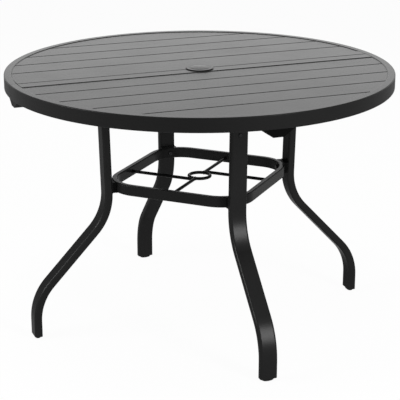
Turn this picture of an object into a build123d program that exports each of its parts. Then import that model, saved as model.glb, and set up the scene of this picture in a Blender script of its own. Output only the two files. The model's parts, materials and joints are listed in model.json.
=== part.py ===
from build123d import *
from math import cos, radians, sin, sqrt
import os

# Round outdoor dining table in powder-coated steel. Millimetres, +Z up, X along the slats.
# The origin is on the floor under the middle of the top.

# Table top
table_height = 725.0
table_diameter = 1067.0
rim_height = 38.0
rim_width = 21.0
rim_edge_radius = 2.5
tube_wall = 1.5
seam_gap = 0.6
seam_bar_width = 42.5
weld_gap = 0.2

# Pressed slat panels, let into the two half frames
panel_recess = 1.5
panel_sheet = 1.2
panel_lip = 7.0
first_groove = 125.5
groove_pitch = 94.0
groove_count = 4
groove_width = 5.5
groove_floor = 2.5
groove_depth = 2.0
stiffener_offset = 255.0
stiffener_width = 30.0
stiffener_height = 14.0
stiffener_sheet = 1.5

# Pressed beams under the top
beam_inset = 7.5
beam_top_width = 94.0
beam_bottom_width = 28.0
beam_depth = 22.0
beam_sheet = 2.0
beam_flange = 14.0
beam_clearance = 1.0
cross_beam_start = 31.0

# Umbrella hole
pole_bore_radius = 22.0
grommet_wall = 4.0
grommet_flange_radius = 38.5
grommet_flange = 2.5
grommet_bevel = 1.0
grommet_tail = 3.0
hole_clearance = 0.2
cap_seat_depth = 1.6
cap_seat_radius = 26.3
cap_clearance = 0.3
cap_proud = 1.4
cap_dome = 1.0
cap_stem_length = 14.0
cap_stem_step = 1.5
cap_stem_wall = 1.6

# Legs
leg_width = 47.0
leg_depth = 22.0
leg_corner_radius = 6.0
leg_top_reach = 281.0
leg_knee_reach = 272.5
leg_knee_drop = 386.0
leg_foot_reach = 486.0
leg_ankle_height = 114.0
leg_bend_radius = 150.0
leg_top_gap = 0.4
glide_height = 8.0
glide_width = 41.0
glide_depth = 17.0
glide_edge_radius = 2.0
glide_plug_length = 16.0
glide_plug_clearance = 0.3

# Hangers that bolt the legs to the beams
hanger_width = 34.0
hanger_sheet = 4.0
hanger_arm = 80.0
hanger_foot = 46.0

# Lower stretcher ring
ring_top_drop = 293.8
ring_height = 29.5
ring_tube_width = 15.0
ring_edge_radius = 3.0
ring_corner_radius = 94.0
ring_angle = 45.0
saddle_width = 43.0
saddle_thickness = 4.2
pad_thickness = 5.5
umbrella_ring_radius = 29.7
rod_diameter = 9.0

# Fasteners
bolt_diameter = 6.0
bolt_hole_diameter = 6.6
bolt_head_across = 10.0
bolt_head_height = 4.0
bolt_reach = 6.0
nut_height = 5.0
thread_clearance = 0.1
beam_bolt_offset = 8.0
seam_bolt_first = 95.0
seam_bolt_spacing = 355.0
hanger_bolt_inset = 12.0
hanger_bolt_spacing = 20.0
leg_bolt_first = 20.0
leg_bolt_spacing = 35.0
leg_bolt_head_radius = 6.0
leg_bolt_head_height = 3.2
leg_bolt_head_taper = 30.0
ring_bolt_head_gap = 0.3

# Levels and radii that follow from the sizes above
top_radius = table_diameter / 2
rim_inner_radius = top_radius - rim_width
rim_middle_radius = top_radius - rim_width / 2
rim_bottom = table_height - rim_height
rim_middle = table_height - rim_height / 2
panel_level = table_height - panel_recess
panel_radius = rim_inner_radius - weld_gap
panel_start = seam_bar_width + weld_gap
groove_bottom = panel_level - groove_depth - panel_sheet
beam_reach = top_radius - beam_inset
beam_bottom = rim_bottom - beam_depth
grommet_radius = pole_bore_radius + grommet_wall
grommet_top = table_height + grommet_flange
cap_seat = grommet_top - cap_seat_depth
cap_stem_bore = pole_bore_radius + cap_stem_step
leg_top = beam_bottom - leg_top_gap
leg_knee = table_height - leg_knee_drop
ring_top = table_height - ring_top_drop
ring_middle = ring_top - ring_height / 2
ring_bottom = ring_top - ring_height
ring_inner_radius = ring_corner_radius - ring_tube_width
bolt_radius = bolt_diameter / 2
bolt_hole_radius = bolt_hole_diameter / 2
thread_radius = bolt_radius + thread_clearance
rod_radius = rod_diameter / 2

halves = {"front": -1, "back": 1}
arms = {"right": 0, "back": 90, "left": 180, "front": 270}
seam_beams = ("right", "left")
seam_bolt_stations = (seam_bolt_first, seam_bolt_first + seam_bolt_spacing)
leg_bolt_drops = (leg_bolt_first, leg_bolt_first + leg_bolt_spacing)

# The straight upper run of a leg leans in from its top to its knee. These two
# unit vectors, in reach and height, run down that line and out across it.
leg_lean_run = Vector(leg_knee_reach - leg_top_reach, leg_knee - leg_top).normalized()
leg_lean_out = Vector(-leg_lean_run.Y, leg_lean_run.X)

os.makedirs("parts", exist_ok=True)


def save(piece, name):
    piece.part.label = name
    export_step(piece.part, f"parts/{name}.step")


def arm_point(turn, reach, height, aside=0.0):
    """A point at a reach and height on the arm at this turn, moved aside along the tangent."""
    a = radians(turn)
    return Vector(reach * cos(a) - aside * sin(a), reach * sin(a) + aside * cos(a), height)


def arm_plane(turn):
    """The upright plane of an arm: local x is the reach, local y is the height."""
    return Plane(origin=(0, 0, 0), x_dir=arm_point(turn, 1, 0), z_dir=arm_point(turn, 0, 0, -1))


def arm_section(turn, reach, height):
    """A plane square to an arm: local x runs aside, local y up, the normal outwards."""
    return Plane(
        origin=arm_point(turn, reach, height),
        x_dir=arm_point(turn, 0, 0, 1),
        z_dir=arm_point(turn, 1, 0),
    )


def leg_line(drop, across):
    """Reach and height of a point at this drop along a leg's upper run, moved out across it."""
    return (
        leg_top_reach + drop * leg_lean_run.X + across * leg_lean_out.X,
        leg_top + drop * leg_lean_run.Y + across * leg_lean_out.Y,
    )


def leg_face_at(height, across):
    """Reach of the leg's inner or outer face line at a given height."""
    reach, level = leg_line(0, across)
    return reach + (height - level) * leg_lean_run.X / leg_lean_run.Y


# The ring is as large as fits between the legs' pads and saddles, with its corners towards the legs
saddle_face_reach = leg_face_at(ring_middle, -leg_depth / 2) - pad_thickness
ring_corner_reach = saddle_face_reach - saddle_thickness
ring_half_span = (ring_corner_reach + ring_corner_radius * (sqrt(2) - 1)) / sqrt(2)
ring_inner_span = ring_half_span - ring_tube_width


def up_plane(point):
    return Plane(origin=point, z_dir=(0, 0, 1))


def down_plane(point):
    return Plane(origin=point, z_dir=(0, 0, -1))


def beam_start(arm):
    """Beams along the seam stop short of the pair that crosses under the middle."""
    if arm in seam_beams:
        return beam_top_width / 2 + beam_clearance
    return cross_beam_start


def beam_bolt_points(arm, height):
    """Bolt places of one beam, in the seam bars. The beams that cross the seam end in a weld to the rim."""
    if arm in seam_beams:
        stations = seam_bolt_stations
    else:
        stations = ((cross_beam_start + seam_bar_width) / 2,)
    sides = (-beam_bolt_offset, beam_bolt_offset)
    return [arm_point(arms[arm], reach, height, side) for reach in stations for side in sides]


def hanger_bolt_points(arm, height):
    """Bolt places of one hanger's foot, in line under its beam."""
    near = leg_face_at(beam_bottom, -leg_depth / 2) - hanger_sheet - hanger_bolt_inset
    reaches = (near, near - hanger_bolt_spacing)
    return [arm_point(arms[arm], reach, height) for reach in reaches]


def leg_bolt_plane(arm, drop, across, outwards=True):
    """A plane square to a leg's upper run, on the line of one of its bolts."""
    reach, height = leg_line(drop, across)
    tip_reach, tip_height = leg_line(drop, across + (1 if outwards else -1))
    start = arm_point(arms[arm], reach, height)
    return Plane(origin=start, z_dir=arm_point(arms[arm], tip_reach, tip_height) - start)


all_beam_bolts = [p for arm in arms for p in beam_bolt_points(arm, rim_bottom)]

# Rim: two half rings of rectangular tube that meet at the seam
for half, side in halves.items():
    with BuildPart() as rim:
        with BuildSketch(Plane.XZ):
            with Locations((rim_middle_radius, rim_middle)):
                RectangleRounded(rim_width, rim_height, rim_edge_radius)
                Rectangle(rim_width - 2 * tube_wall, rim_height - 2 * tube_wall, mode=Mode.SUBTRACT)
        revolve(axis=Axis((0, 0, 0), (0, 0, side)), revolution_arc=180)
        split(bisect_by=Plane(origin=(0, side * seam_gap / 2, 0), z_dir=(0, side, 0)), keep=Keep.TOP)
    save(rim, f"rim_{half}")

# Seam bars: the straight tubes that close each half along the seam
for half, side in halves.items():
    bar_width = seam_bar_width - seam_gap / 2
    with BuildPart() as seam_bar:
        with BuildSketch(Plane.YZ):
            with Locations((side * (seam_gap / 2 + bar_width / 2), rim_middle)):
                RectangleRounded(bar_width, rim_height, rim_edge_radius)
                Rectangle(bar_width - 2 * tube_wall, rim_height - 2 * tube_wall, mode=Mode.SUBTRACT)
        extrude(amount=rim_inner_radius, both=True)
        with BuildSketch(Plane.XY.offset(rim_bottom)):
            Circle(panel_radius)
        extrude(amount=rim_height, mode=Mode.INTERSECT)
        with BuildSketch(Plane.XY.offset(rim_bottom)):
            Circle(grommet_radius + hole_clearance)
        extrude(amount=rim_height, mode=Mode.SUBTRACT)
        with BuildSketch(Plane.XY.offset(rim_bottom)):
            with Locations(*[(p.X, p.Y) for p in all_beam_bolts]):
                Circle(thread_radius)
        extrude(amount=tube_wall, mode=Mode.SUBTRACT)
    save(seam_bar, f"seam_bar_{half}")

# Slat panels: one pressed sheet for each half, with a turned-down lip and pressed grooves
for half, side in halves.items():
    groove_lines = [side * (first_groove + i * groove_pitch) for i in range(groove_count)]
    with BuildPart() as slat_panel:
        with BuildSketch(Plane.XY.offset(panel_level)):
            Circle(panel_radius)
            with Locations((0, side * (panel_start - top_radius))):
                Rectangle(2 * top_radius, 2 * top_radius, mode=Mode.SUBTRACT)
        extrude(amount=-panel_lip)
        with BuildSketch(Plane.XY.offset(panel_level - panel_sheet)):
            Circle(panel_radius - panel_sheet)
            with Locations((0, side * (panel_start + panel_sheet - top_radius))):
                Rectangle(2 * top_radius, 2 * top_radius, mode=Mode.SUBTRACT)
        extrude(amount=-panel_lip, mode=Mode.SUBTRACT)
        with BuildSketch(Plane.YZ):
            for line in groove_lines:
                with BuildLine():
                    Polyline(
                        (line - groove_width / 2 - panel_sheet, panel_level - panel_sheet),
                        (line - groove_floor / 2 - panel_sheet, groove_bottom),
                        (line + groove_floor / 2 + panel_sheet, groove_bottom),
                        (line + groove_width / 2 + panel_sheet, panel_level - panel_sheet),
                        close=True,
                    )
                make_face()
        extrude(amount=panel_radius, both=True)
        with BuildSketch(Plane.YZ):
            for line in groove_lines:
                with BuildLine():
                    Polyline(
                        (line - groove_width / 2, panel_level),
                        (line - groove_floor / 2, panel_level - groove_depth),
                        (line + groove_floor / 2, panel_level - groove_depth),
                        (line + groove_width / 2, panel_level),
                        close=True,
                    )
                make_face()
        extrude(amount=panel_radius, both=True, mode=Mode.SUBTRACT)
        with BuildSketch(Plane.XY.offset(panel_level)):
            Circle(panel_radius)
        extrude(amount=-panel_lip, mode=Mode.INTERSECT)
    save(slat_panel, f"slat_panel_{half}")

# Stiffeners: channels across the grooves under each panel
for half, side in halves.items():
    for flank, along in {"left": -1, "right": 1}.items():
        lip_room = panel_sheet + weld_gap
        with BuildPart() as stiffener:
            with BuildSketch(Plane.XZ.offset(-side * (panel_start + lip_room))):
                with Locations((along * stiffener_offset, groove_bottom - stiffener_height / 2)):
                    Rectangle(stiffener_width, stiffener_height)
                with Locations((along * stiffener_offset, groove_bottom - stiffener_height)):
                    Rectangle(
                        stiffener_width - 2 * stiffener_sheet,
                        2 * (stiffener_height - stiffener_sheet),
                        mode=Mode.SUBTRACT,
                    )
            extrude(amount=-side * panel_radius)
            with BuildSketch(Plane.XY.offset(groove_bottom)):
                Circle(panel_radius - lip_room)
            extrude(amount=-stiffener_height, mode=Mode.INTERSECT)
        save(stiffener, f"panel_stiffener_{half}_{flank}")

# Beams: pressed troughs under the top, closed at the outer end
wall_slope = (beam_top_width - beam_bottom_width) / 2 / beam_depth
wall_across = beam_sheet * sqrt(1 + wall_slope**2)
for arm, turn in arms.items():
    with BuildPart() as beam:
        with BuildSketch(arm_section(turn, beam_start(arm), rim_bottom)):
            with BuildLine():
                Polyline(
                    (-beam_top_width / 2, 0),
                    (-beam_bottom_width / 2, -beam_depth),
                    (beam_bottom_width / 2, -beam_depth),
                    (beam_top_width / 2, 0),
                    close=True,
                )
            make_face()
            inside_top = beam_top_width / 2 - wall_slope * beam_sheet - wall_across
            inside_bottom = beam_bottom_width / 2 + wall_slope * beam_sheet - wall_across
            with BuildLine():
                Polyline(
                    (-inside_top, -beam_sheet),
                    (-inside_bottom, beam_sheet - beam_depth),
                    (inside_bottom, beam_sheet - beam_depth),
                    (inside_top, -beam_sheet),
                    close=True,
                )
            make_face(mode=Mode.SUBTRACT)
            Rectangle(beam_top_width - 2 * beam_flange, 2 * beam_sheet, mode=Mode.SUBTRACT)
        extrude(amount=beam_reach - beam_start(arm))
        with BuildSketch(arm_section(turn, beam_reach, rim_bottom)):
            with BuildLine():
                Polyline(
                    (-beam_top_width / 2, 0),
                    (-beam_bottom_width / 2, -beam_depth),
                    (beam_bottom_width / 2, -beam_depth),
                    (beam_top_width / 2, 0),
                    close=True,
                )
            make_face()
        extrude(amount=-beam_sheet)
        with BuildSketch(Plane.XY.offset(beam_bottom)):
            holes = beam_bolt_points(arm, beam_bottom) + hanger_bolt_points(arm, beam_bottom)
            with Locations(*[(p.X, p.Y) for p in holes]):
                Circle(bolt_hole_radius)
        extrude(amount=beam_sheet, mode=Mode.SUBTRACT)
    save(beam, f"beam_{arm}")

# Umbrella grommet: a flanged sleeve with a seat for the cap and a bore for the pole
with BuildPart() as grommet:
    with BuildSketch(Plane.XZ):
        with BuildLine():
            Polyline(
                (pole_bore_radius, rim_bottom - grommet_tail),
                (grommet_radius, rim_bottom - grommet_tail),
                (grommet_radius, table_height),
                (grommet_flange_radius, table_height),
                (grommet_flange_radius, grommet_top - grommet_bevel),
                (grommet_flange_radius - grommet_bevel, grommet_top),
                (cap_seat_radius, grommet_top),
                (cap_seat_radius, cap_seat),
                (cap_stem_bore, cap_seat),
                (cap_stem_bore, cap_seat - cap_stem_length - cap_clearance),
                (pole_bore_radius, cap_seat - cap_stem_length - cap_clearance),
                close=True,
            )
        make_face()
    revolve(axis=Axis.Z)
save(grommet, "umbrella_grommet")

# Umbrella cap: a domed lid with a hollow stem that lifts out of the grommet
with BuildPart() as cap:
    cap_radius = cap_seat_radius - cap_clearance
    cap_edge = grommet_top + cap_proud - cap_dome
    stem_radius = cap_stem_bore - cap_clearance
    stem_bottom = cap_seat - cap_stem_length
    with BuildSketch(Plane.XZ):
        with BuildLine():
            Polyline(
                (0, cap_edge + cap_dome),
                (0, cap_seat),
                (stem_radius - cap_stem_wall, cap_seat),
                (stem_radius - cap_stem_wall, stem_bottom),
                (stem_radius, stem_bottom),
                (stem_radius, cap_seat),
                (cap_radius, cap_seat),
                (cap_radius, cap_edge),
            )
            RadiusArc(
                (cap_radius, cap_edge),
                (0, cap_edge + cap_dome),
                -(cap_radius**2 + cap_dome**2) / (2 * cap_dome),
            )
        make_face()
    revolve(axis=Axis.Z)
save(cap, "umbrella_cap")

# Legs: rectangular tube with rounded corners, bent out below the ring and down to the foot
for arm, turn in arms.items():
    with BuildPart() as leg:
        with BuildLine(arm_plane(turn)) as leg_path:
            FilletPolyline(
                (leg_top_reach, leg_top),
                (leg_knee_reach, leg_knee),
                (leg_foot_reach, leg_ankle_height),
                (leg_foot_reach, glide_height),
                radius=leg_bend_radius,
            )
        top_end = leg_path.line @ 0
        with BuildSketch(Plane(origin=top_end, x_dir=arm_point(turn, 0, 0, 1), z_dir=leg_path.line % 0)):
            RectangleRounded(leg_width, leg_depth, leg_corner_radius)
            RectangleRounded(
                leg_width - 2 * tube_wall,
                leg_depth - 2 * tube_wall,
                leg_corner_radius - tube_wall,
                mode=Mode.SUBTRACT,
            )
        sweep()
        with BuildSketch(*[leg_bolt_plane(arm, drop, leg_depth / 2) for drop in leg_bolt_drops]):
            Circle(bolt_hole_radius)
        extrude(amount=-leg_depth, mode=Mode.SUBTRACT)
        with BuildSketch(arm_section(turn, saddle_face_reach, ring_middle)):
            Circle(bolt_hole_radius)
        extrude(amount=leg_depth, mode=Mode.SUBTRACT)
    save(leg, f"leg_{arm}")

# Foot glides: plastic feet that plug into the tube ends
for arm, turn in arms.items():
    with BuildPart() as glide:
        foot = arm_point(turn, leg_foot_reach, 0)
        tangent = arm_point(turn, 0, 0, 1)
        with BuildSketch(Plane(origin=foot, x_dir=tangent, z_dir=(0, 0, 1))):
            RectangleRounded(glide_width, glide_depth, leg_corner_radius)
        extrude(amount=glide_height)
        fillet(glide.edges().group_by(Axis.Z)[0], glide_edge_radius)
        plug_trim = 2 * (tube_wall + glide_plug_clearance)
        with BuildSketch(Plane(origin=foot + Vector(0, 0, glide_height), x_dir=tangent, z_dir=(0, 0, 1))):
            RectangleRounded(
                leg_width - plug_trim,
                leg_depth - plug_trim,
                leg_corner_radius - plug_trim / 2,
            )
        extrude(amount=glide_plug_length)
    save(glide, f"foot_glide_{arm}")

# Leg hangers: bent plates whose foot bolts under a beam and whose arm carries the leg
for arm, turn in arms.items():
    face_top = leg_face_at(beam_bottom, -leg_depth / 2)
    arm_end_out = leg_line(hanger_arm, -leg_depth / 2)
    arm_end_in = leg_line(hanger_arm, -leg_depth / 2 - hanger_sheet)
    with BuildPart() as hanger:
        with BuildSketch(arm_plane(turn)):
            with BuildLine():
                Polyline(
                    (face_top, beam_bottom),
                    arm_end_out,
                    arm_end_in,
                    (leg_face_at(beam_bottom - hanger_sheet, -leg_depth / 2 - hanger_sheet),
                     beam_bottom - hanger_sheet),
                    (face_top - hanger_foot, beam_bottom - hanger_sheet),
                    (face_top - hanger_foot, beam_bottom),
                    close=True,
                )
            make_face()
        extrude(amount=hanger_width / 2, both=True)
        with BuildSketch(Plane.XY.offset(beam_bottom)):
            with Locations(*[(p.X, p.Y) for p in hanger_bolt_points(arm, beam_bottom)]):
                Circle(bolt_hole_radius)
        extrude(amount=-hanger_sheet, mode=Mode.SUBTRACT)
        with BuildSketch(*[leg_bolt_plane(arm, drop, -leg_depth / 2) for drop in leg_bolt_drops]):
            Circle(bolt_hole_radius)
        extrude(amount=-hanger_sheet, mode=Mode.SUBTRACT)
    save(hanger, f"leg_hanger_{arm}")

# Stretcher ring: a square of rectangular tube with large corners, a corner to each leg
ring_plane = Plane.XY.offset(ring_bottom).rotated((0, 0, ring_angle))
with BuildPart() as ring:
    with BuildSketch(ring_plane):
        RectangleRounded(2 * ring_half_span, 2 * ring_half_span, ring_corner_radius)
        RectangleRounded(2 * ring_inner_span, 2 * ring_inner_span, ring_inner_radius, mode=Mode.SUBTRACT)
    extrude(amount=ring_height)
    fillet(ring.edges().filter_by(Axis.Z, reverse=True), ring_edge_radius)
    with BuildSketch(ring_plane.offset(tube_wall)):
        outer_half = ring_half_span - tube_wall
        inner_half = ring_inner_span + tube_wall
        RectangleRounded(2 * outer_half, 2 * outer_half, ring_corner_radius - tube_wall)
        RectangleRounded(
            2 * inner_half, 2 * inner_half, ring_inner_radius + tube_wall, mode=Mode.SUBTRACT
        )
    extrude(amount=ring_height - 2 * tube_wall, mode=Mode.SUBTRACT)
    with BuildSketch(*[arm_section(turn, ring_inner_span, ring_middle) for turn in arms.values()]):
        Circle(bolt_hole_radius)
    extrude(amount=ring_corner_reach, mode=Mode.SUBTRACT)
save(ring, "stretcher_ring")

# Ring saddles: blocks shaped to the ring's corners, with a flat face towards the leg
for arm, turn in arms.items():
    with BuildPart() as saddle:
        with BuildSketch(arm_section(turn, ring_corner_reach - ring_tube_width, ring_middle)):
            Rectangle(saddle_width, ring_height)
        extrude(amount=saddle_face_reach - ring_corner_reach + ring_tube_width)
        with BuildSketch(ring_plane):
            RectangleRounded(
                2 * (ring_half_span + weld_gap),
                2 * (ring_half_span + weld_gap),
                ring_corner_radius + weld_gap,
            )
        extrude(amount=ring_height, mode=Mode.SUBTRACT)
        with BuildSketch(arm_section(turn, saddle_face_reach, ring_middle)):
            Circle(bolt_hole_radius)
        extrude(amount=-ring_tube_width, mode=Mode.SUBTRACT)
    save(saddle, f"ring_saddle_{arm}")

# Leg pads: plates on the legs' inner faces that the saddles bolt against
for arm, turn in arms.items():
    with BuildPart() as leg_pad:
        with BuildSketch(arm_plane(turn)):
            with BuildLine():
                Polyline(
                    (saddle_face_reach, ring_top),
                    (leg_face_at(ring_top, -leg_depth / 2), ring_top),
                    (leg_face_at(ring_bottom, -leg_depth / 2), ring_bottom),
                    (saddle_face_reach, ring_bottom),
                    close=True,
                )
            make_face()
        extrude(amount=saddle_width / 2, both=True)
        with BuildSketch(arm_section(turn, saddle_face_reach, ring_middle)):
            Circle(bolt_hole_radius)
        extrude(amount=leg_depth, mode=Mode.SUBTRACT)
    save(leg_pad, f"leg_pad_{arm}")

# Umbrella ring: a closed loop of round rod in the middle of the stretcher ring
with BuildPart() as umbrella_ring:
    with BuildSketch(Plane.XZ):
        with Locations((umbrella_ring_radius, ring_middle)):
            Circle(rod_radius)
    revolve(axis=Axis.Z)
save(umbrella_ring, "umbrella_ring")

# Ring rods: two point at the middle and meet the loop head on, two run past it and touch its side
for name in ("front", "back"):
    turn = arms[name] - ring_angle
    with BuildPart() as rod:
        with BuildSketch(arm_section(turn, umbrella_ring_radius, ring_middle)):
            Circle(rod_radius)
        extrude(amount=ring_inner_span - umbrella_ring_radius)
        with Locations((0, 0, ring_middle)):
            Torus(umbrella_ring_radius, rod_radius + weld_gap, mode=Mode.SUBTRACT)
    save(rod, f"ring_rod_{name}")
for name in ("left", "right"):
    turn = arms[name] - ring_angle
    aside = umbrella_ring_radius + rod_diameter + weld_gap
    rod_start = rod_radius + weld_gap
    with BuildPart() as rod:
        section = arm_section(turn, rod_start, ring_middle)
        section.origin += arm_point(turn, 0, 0, aside)
        with BuildSketch(section):
            Circle(rod_radius)
        extrude(amount=ring_inner_span - rod_start)
    save(rod, f"ring_rod_{name}")


def hex_bolts(planes, length):
    """Hexagon bolts whose heads rise from the planes and whose shanks go down through them."""
    with BuildPart() as bolts:
        with BuildSketch(*planes):
            RegularPolygon(bolt_head_across / 2, 6, major_radius=False)
        extrude(amount=bolt_head_height)
        with BuildSketch(*planes):
            Circle(bolt_radius)
        extrude(amount=-length)
    return bolts


def hex_nuts(planes):
    with BuildPart() as nuts:
        with BuildSketch(*planes):
            RegularPolygon(bolt_head_across / 2, 6, major_radius=False)
            Circle(thread_radius, mode=Mode.SUBTRACT)
        extrude(amount=nut_height)
    return nuts


# Bolts from under the beams up into the top frame
beam_bolts = hex_bolts(
    [down_plane(p) for arm in arms for p in beam_bolt_points(arm, beam_bottom)],
    beam_depth + tube_wall + bolt_reach,
)
save(beam_bolts, "beam_bolts")

# Bolts and nuts that hold the hangers' feet under the beams
hanger_length = hanger_sheet + beam_sheet + nut_height
hanger_bolts = hex_bolts(
    [down_plane(p) for arm in arms for p in hanger_bolt_points(arm, beam_bottom - hanger_sheet)],
    hanger_length + bolt_radius,
)
save(hanger_bolts, "hanger_bolts")
hanger_nuts = hex_nuts(
    [up_plane(p) for arm in arms for p in hanger_bolt_points(arm, beam_bottom + beam_sheet)]
)
save(hanger_nuts, "hanger_nuts")

# Round-headed bolts through the legs into the hangers, with nuts behind
with BuildPart() as leg_bolts:
    head_planes = [
        leg_bolt_plane(arm, drop, leg_depth / 2) for arm in arms for drop in leg_bolt_drops
    ]
    with BuildSketch(*head_planes):
        Circle(leg_bolt_head_radius)
    extrude(amount=leg_bolt_head_height, taper=leg_bolt_head_taper)
    with BuildSketch(*head_planes):
        Circle(bolt_radius)
    extrude(amount=-(leg_depth + hanger_sheet + nut_height + bolt_radius))
save(leg_bolts, "leg_bolts")
leg_nuts = hex_nuts(
    [
        leg_bolt_plane(arm, drop, -leg_depth / 2 - hanger_sheet, outwards=False)
        for arm in arms
        for drop in leg_bolt_drops
    ]
)
save(leg_nuts, "leg_nuts")

# Bolts from inside the ring's corners into nuts held in the legs
ring_bolt_seat = ring_corner_reach - ring_tube_width - ring_bolt_head_gap
ring_bolts = hex_bolts(
    [
        Plane(
            origin=arm_point(turn, ring_bolt_seat, ring_middle),
            z_dir=arm_point(turn, -1, 0),
        )
        for turn in arms.values()
    ],
    leg_face_at(ring_middle, -leg_depth / 2) - ring_bolt_seat + tube_wall + bolt_reach,
)
save(ring_bolts, "ring_bolts")
leg_wall_inside = leg_face_at(ring_middle, tube_wall - leg_depth / 2)
ring_nuts = hex_nuts(
    [arm_section(turn, leg_wall_inside + weld_gap, ring_middle) for turn in arms.values()]
)
save(ring_nuts, "ring_nuts")
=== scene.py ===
# %% [markdown]
# # A round outdoor dining table
# The table stands on four bent tube legs. Its top is two half rings of tube, each filled with one
# pressed sheet of slats. The solids come with the frame, at their real size in metres, so this
# lesson adds what a solid leaves out: finishes, pressed grooves, thread, domed feet, weld beads
# and light.

# %% Load the frame
import json
import math

import bmesh
import bpy
import numpy as np
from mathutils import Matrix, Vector

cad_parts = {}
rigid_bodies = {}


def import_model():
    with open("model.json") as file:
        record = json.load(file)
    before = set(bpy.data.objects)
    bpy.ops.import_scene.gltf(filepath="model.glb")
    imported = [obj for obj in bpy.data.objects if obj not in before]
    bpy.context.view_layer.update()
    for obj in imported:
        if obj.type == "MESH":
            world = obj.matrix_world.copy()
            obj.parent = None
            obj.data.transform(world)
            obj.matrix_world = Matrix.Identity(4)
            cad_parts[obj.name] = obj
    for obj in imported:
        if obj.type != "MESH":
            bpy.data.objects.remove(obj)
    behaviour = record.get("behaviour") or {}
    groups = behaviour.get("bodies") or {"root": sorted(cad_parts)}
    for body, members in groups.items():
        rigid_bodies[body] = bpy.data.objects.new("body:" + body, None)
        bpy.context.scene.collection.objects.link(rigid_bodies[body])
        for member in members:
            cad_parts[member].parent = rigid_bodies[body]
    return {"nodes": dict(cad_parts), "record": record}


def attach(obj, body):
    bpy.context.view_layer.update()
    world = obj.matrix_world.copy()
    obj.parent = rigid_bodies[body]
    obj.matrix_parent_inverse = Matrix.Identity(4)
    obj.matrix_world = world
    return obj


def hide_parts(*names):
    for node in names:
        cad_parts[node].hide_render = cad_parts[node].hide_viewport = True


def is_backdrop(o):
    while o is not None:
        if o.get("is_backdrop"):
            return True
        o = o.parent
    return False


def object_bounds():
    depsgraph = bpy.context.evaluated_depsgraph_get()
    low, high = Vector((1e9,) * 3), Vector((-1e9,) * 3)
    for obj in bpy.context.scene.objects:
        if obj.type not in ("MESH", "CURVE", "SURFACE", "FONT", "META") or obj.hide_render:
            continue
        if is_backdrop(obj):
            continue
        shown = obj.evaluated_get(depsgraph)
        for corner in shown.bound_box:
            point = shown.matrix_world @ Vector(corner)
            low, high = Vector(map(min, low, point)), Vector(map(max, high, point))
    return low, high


for leftover in list(bpy.data.objects):
    bpy.data.objects.remove(leftover)
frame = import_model()
cad_low, cad_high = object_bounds()
print("table", [round(high - low, 4) for low, high in zip(cad_low, cad_high)], "m")

# %% [markdown]
# ## The camera
# A long lens far from the table keeps its ellipse flat. The focal length was measured in pixels of
# a square picture, so the lens in millimetres follows from the sensor's width. The camera stands
# on a circle round the table and is tipped down, which is easier to read than a typed rotation.

# %% Camera
PICTURE_SIDE_PIXELS = 400
FOCAL_LENGTH_PIXELS = 1355.8
SENSOR_WIDTH_MM = 36.0
CAMERA_DISTANCE = 3.6496
CAMERA_HEIGHT = 1.551
CAMERA_PITCH = math.radians(18.306)
CAMERA_SIDE_LOOK = math.radians(-0.018)
CAMERA_TURN = math.radians(21.31)


def round_table(distance, turn, height):
    """A point at this distance from the table's middle, seen from the front and turned to the left."""
    return Vector((-distance * math.sin(turn), -distance * math.cos(turn), height))


camera_lens = bpy.data.cameras.new("table_camera")
camera_lens.sensor_width = SENSOR_WIDTH_MM
camera_lens.lens = FOCAL_LENGTH_PIXELS / PICTURE_SIDE_PIXELS * SENSOR_WIDTH_MM
camera = bpy.data.objects.new("table_camera", camera_lens)
camera.location = round_table(CAMERA_DISTANCE, CAMERA_TURN, CAMERA_HEIGHT)
camera.rotation_euler = (math.radians(90) - CAMERA_PITCH, 0, CAMERA_SIDE_LOOK - CAMERA_TURN)
bpy.context.collection.objects.link(camera)
bpy.context.scene.camera = camera
print("lens", round(camera_lens.lens, 1), "mm")

# %% [markdown]
# ## Node trees from code
# A finish is a tree of nodes, and so is a shape that is grown by a rule. Drawn by hand a tree is
# quick to try. Written in code it keeps every value in sight and comes out the same each time.
# Three helpers keep that code readable: one adds a node and fills its inputs, one maps a range of
# values to another, and one does sums.

# %% Helpers for node trees
def add_node(tree, kind, inputs=None, **options):
    """Adds a node, sets its options, and fills its inputs with plain values or other nodes' sockets."""
    node = tree.nodes.new(kind)
    for option, value in options.items():
        setattr(node, option, value)
    for name, value in (inputs or {}).items():
        if isinstance(value, bpy.types.NodeSocket):
            tree.links.new(value, node.inputs[name])
        else:
            node.inputs[name].default_value = value
    return node


def map_range(tree, value, low, high, to_low, to_high, kind="LINEAR"):
    """Maps the range low..high to the range to_low..to_high, and holds still outside it."""
    inputs = {"Value": value, "From Min": low, "From Max": high, "To Min": to_low, "To Max": to_high}
    return add_node(tree, "ShaderNodeMapRange", inputs, interpolation_type=kind).outputs["Result"]


def calc(tree, operation, *values):
    """One sum of plain values or sockets."""
    return add_node(tree, "ShaderNodeMath", dict(enumerate(values)), operation=operation).outputs[0]


# %% [markdown]
# ## Powder coat
# Powder coat is a thin skin of melted plastic. It is almost black, and what the eye sees is mostly
# the reflection of the room: faint where a surface is met head on, strong where it is met at a
# low angle. That is why the top looks grey and the legs black. One dark shader with a plain
# Fresnel gives both, so no second colour is needed. The skin is never flat: it sets in soft waves
# called orange peel, which a fine noise makes as bump, and its gloss varies a little.
#
# The coat comes in variants. The top is sprayed smooth so that it wipes clean, and its upright
# sides are duller than the faces that hands and cloths rub. The frame below has a finer peel. On
# the legs a share of the coat acts as metal with a dim edge, as in a coat with fine flakes: a bend
# then catches the lamp, and a face met at a low angle stays dark. The rods, the umbrella ring, the
# beams and the blocks between the ring and the legs get a blacker copy of the same coat. That is
# painted shade, for the shade they stand in under the top.

# %% Helpers for finishes
def new_finish(name):
    """A material with a Principled shader, and the Object coordinates that its patterns read."""
    finish = bpy.data.materials.new(name)
    finish.use_nodes = True
    tree = finish.node_tree
    place = tree.nodes.new("ShaderNodeTexCoord").outputs["Object"]
    return finish, tree, tree.nodes["Principled BSDF"], place


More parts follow.
